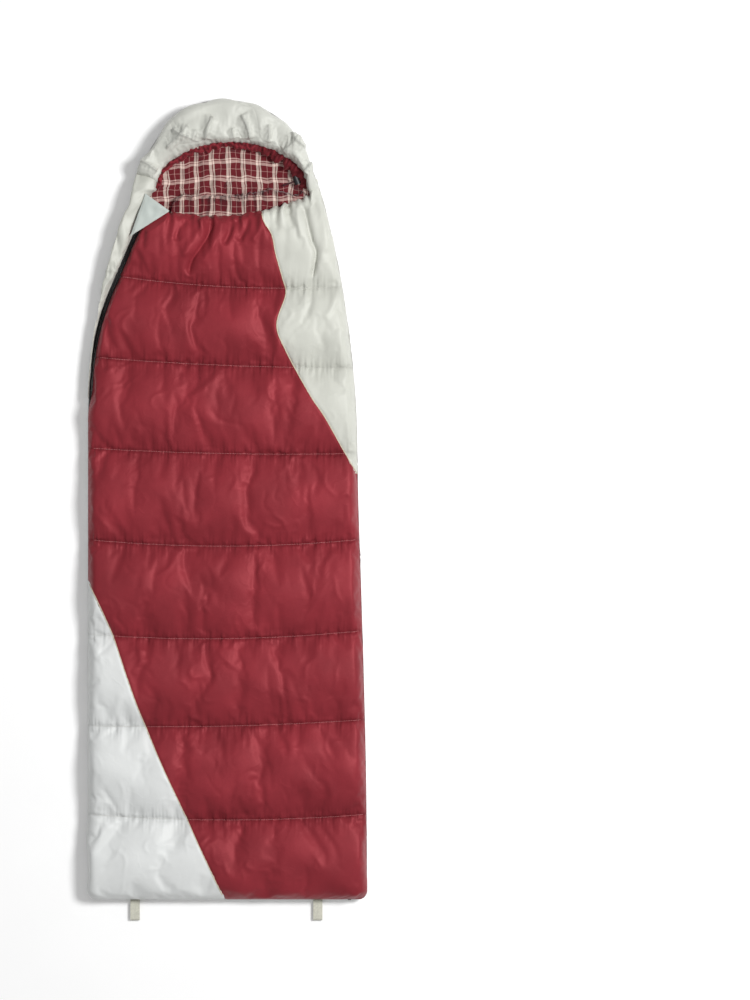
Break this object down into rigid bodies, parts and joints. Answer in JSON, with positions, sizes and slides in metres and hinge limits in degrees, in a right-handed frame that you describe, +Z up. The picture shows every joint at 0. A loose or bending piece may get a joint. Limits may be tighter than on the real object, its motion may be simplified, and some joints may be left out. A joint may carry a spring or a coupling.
{
  "type": "mummy sleeping bag",
  "caption": "Quilted mummy sleeping bag with gathered hood, side and foot zip, drawcord with cord lock and hanging loops; the front folds open about its right side.",
  "frame": {"origin": "middle of the box of the whole bag, on the ground it lies on", "axes": "+X across towards the side that is sewn shut, +Y towards the hood, +Z up from the ground, the bag lying on its back"},
  "size_m": [0.764, 2.2499, 0.102],
  "materials": {
    "red_fabric": "satin polyester, quilted",
    "pale_fabric": "satin polyester, quilted",
    "back_fabric": "matt polyester, quilted",
    "plaid_lining": "brushed cotton flannel with a woven tartan check",
    "red_casing": "gathered polyester",
    "filling": "hollow-fibre wadding",
    "zip_tape": "woven tape",
    "zip_coil": "nylon coil",
    "slider_metal": "black enamelled zinc",
    "webbing": "woven tape",
    "cord": "braided cord",
    "elastic": "flat elastic",
    "lock_plastic": "moulded",
    "spring_steel": "plain wire",
    "touch_tape": "hook and loop tape"
  },
  "bodies": {
    "root": {"back_shell": "back_fabric", "back_insulation": "filling", "back_lining": "plaid_lining", "hood_shell": "pale_fabric", "hood_insulation": "filling", "hood_lining": "plaid_lining", "hood_casing": "red_casing", "hood_drawcord": "cord", "side_shell_red": "red_fabric", "side_shell_pale": "pale_fabric", "side_insulation": "filling", "rim_shell": "pale_fabric", "rim_insulation": "filling", "rim_loop_patch": "touch_tape", "back_zip_tape": "zip_tape", "back_zip_coil": "zip_coil", "left_loop_anchor": "webbing", "right_loop_anchor": "webbing"},
    "front": {"front_shell_red": "red_fabric", "front_shell_side": "pale_fabric", "front_shell_foot": "pale_fabric", "front_insulation": "filling", "front_lining": "plaid_lining", "neck_casing": "plaid_lining", "neck_elastic": "elastic", "front_zip_tape": "zip_tape", "front_zip_coil": "zip_coil", "draught_tube": "plaid_lining"},
    "neck_tab": {"neck_tab": "pale_fabric", "tab_hook_patch": "touch_tape"},
    "upper_slider": {"upper_slider": "slider_metal"},
    "upper_pull": {"upper_pull": "slider_metal"},
    "lower_slider": {"lower_slider": "slider_metal"},
    "lower_pull": {"lower_pull": "slider_metal"},
    "cord_lock": {"cord_lock_barrel": "lock_plastic", "cord_lock_spring": "spring_steel"},
    "lock_button": {"cord_lock_button": "lock_plastic"},
    "left_loop": {"left_hang_loop": "webbing"},
    "right_loop": {"right_hang_loop": "webbing"}
  },
  "joints": [
    {"name": "front_fold", "type": "hinge", "parent": "root", "child": "front", "pos_m": [0.226, 0.866, 0.08], "axis": [-0.0805, 0.9968, 0], "range_deg": [0, 160], "deforming": ["front_zip_coil", "front_zip_tape"]},
    {"name": "tab_peel", "type": "hinge", "parent": "front", "child": "neck_tab", "pos_m": [-0.263, 0.7455, 0.08], "axis": [0.8449, 0.5349, 0], "range_deg": [0, 150]},
    {"name": "upper_zip_slide", "type": "slide", "parent": "root", "child": "upper_slider", "axis": [-0.3944, -0.9189, 0], "range_m": [0, 0.22], "deforming": ["back_zip_coil", "front_zip_coil"]},
    {"name": "upper_pull_swing", "type": "hinge", "parent": "upper_slider", "child": "upper_pull", "pos_m": [-0.21831, 0.8323, 0.0474], "axis": [-0.9189, 0.3944, 0], "range_deg": [0, 170]},
    {"name": "lower_zip_slide", "type": "slide", "parent": "root", "child": "lower_slider", "axis": [-1, 0, 0], "range_m": [0, 0.53], "deforming": ["back_zip_coil", "front_zip_coil"]},
    {"name": "lower_pull_swing", "type": "hinge", "parent": "lower_slider", "child": "lower_pull", "pos_m": [0.334, -1.064, 0.033], "axis": [0, 0, 1], "range_deg": [0, 170]},
    {"name": "cord_lock_slide", "type": "slide", "parent": "root", "child": "cord_lock", "axis": [-0.9397, -0.342, 0], "range_m": [0, 0.024]},
    {"name": "cord_lock_press", "type": "slide", "parent": "cord_lock", "child": "lock_button", "axis": [0.342, -0.9397, 0], "range_m": [0, 0.004], "stiffness_N_per_m": 400, "springref_m": -0.003, "deforming": ["cord_lock_spring"]},
    {"name": "left_loop_swing", "type": "hinge", "parent": "root", "child": "left_loop", "pos_m": [-0.255, -1.0735, 0.0055], "axis": [-1, 0, 0], "range_deg": [0, 90]},
    {"name": "right_loop_swing", "type": "hinge", "parent": "root", "child": "right_loop", "pos_m": [0.247, -1.0735, 0.0055], "axis": [-1, 0, 0], "range_deg": [0, 90]}
  ]
}
